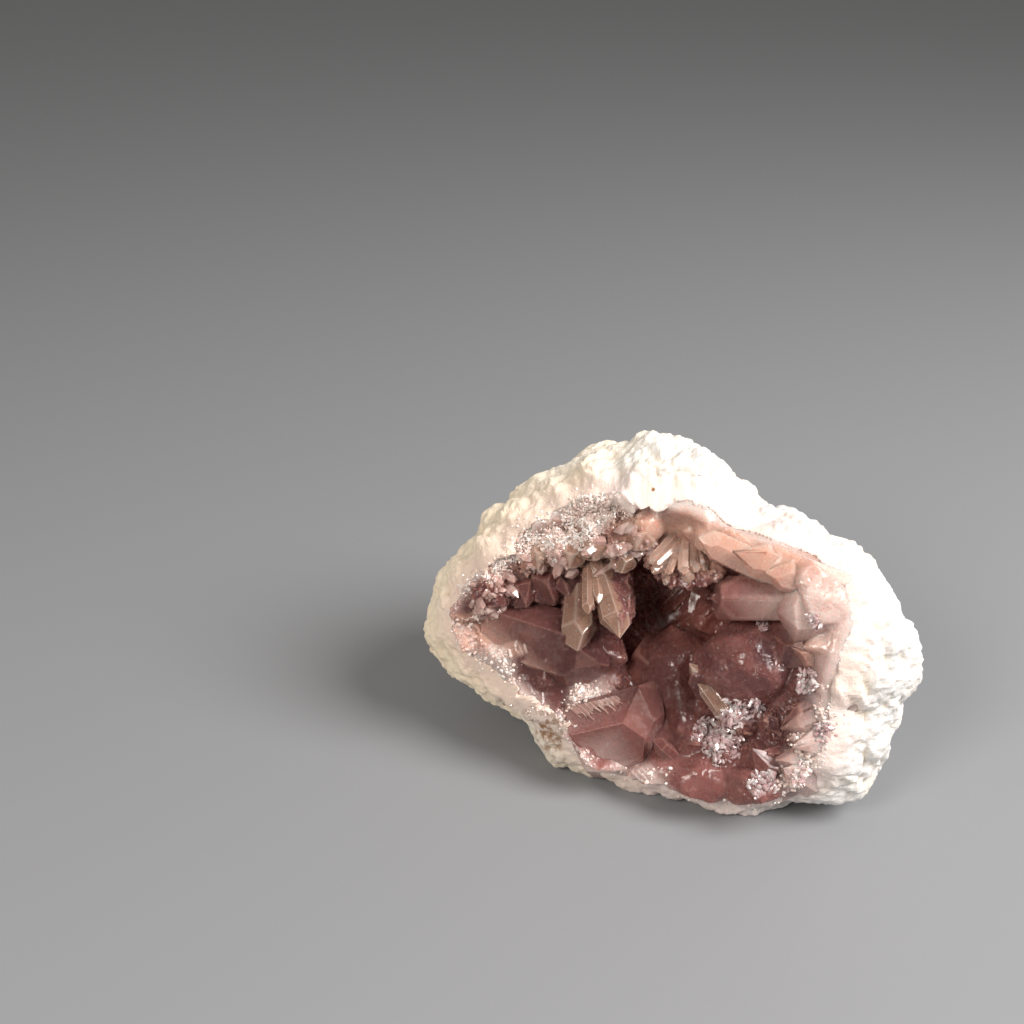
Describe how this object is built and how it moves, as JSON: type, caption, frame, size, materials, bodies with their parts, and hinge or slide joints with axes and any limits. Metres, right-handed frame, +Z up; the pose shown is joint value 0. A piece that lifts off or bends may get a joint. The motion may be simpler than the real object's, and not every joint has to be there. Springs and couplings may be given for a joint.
{
  "type": "pink amethyst cluster",
  "caption": "Half a knobbly white geode, broken open and lined with dusty pink quartz crystals, that rests on its flattened underside.",
  "frame": {"origin": "middle of the bounding box's underside, on the surface the stone rests on", "axes": "+Z up; the broken mouth with its crystals faces -Y, turned a little to -X and leaning back; +X to the right as seen from the front"},
  "size_m": [0.0832, 0.063, 0.0556],
  "materials": {
    "rind": "chalky, knobbly",
    "pink_quartz": "milky, half clear"
  },
  "bodies": {
    "root": {"rind": "rind", "crystal_crust": "pink_quartz"}
  },
  "joints": []
}
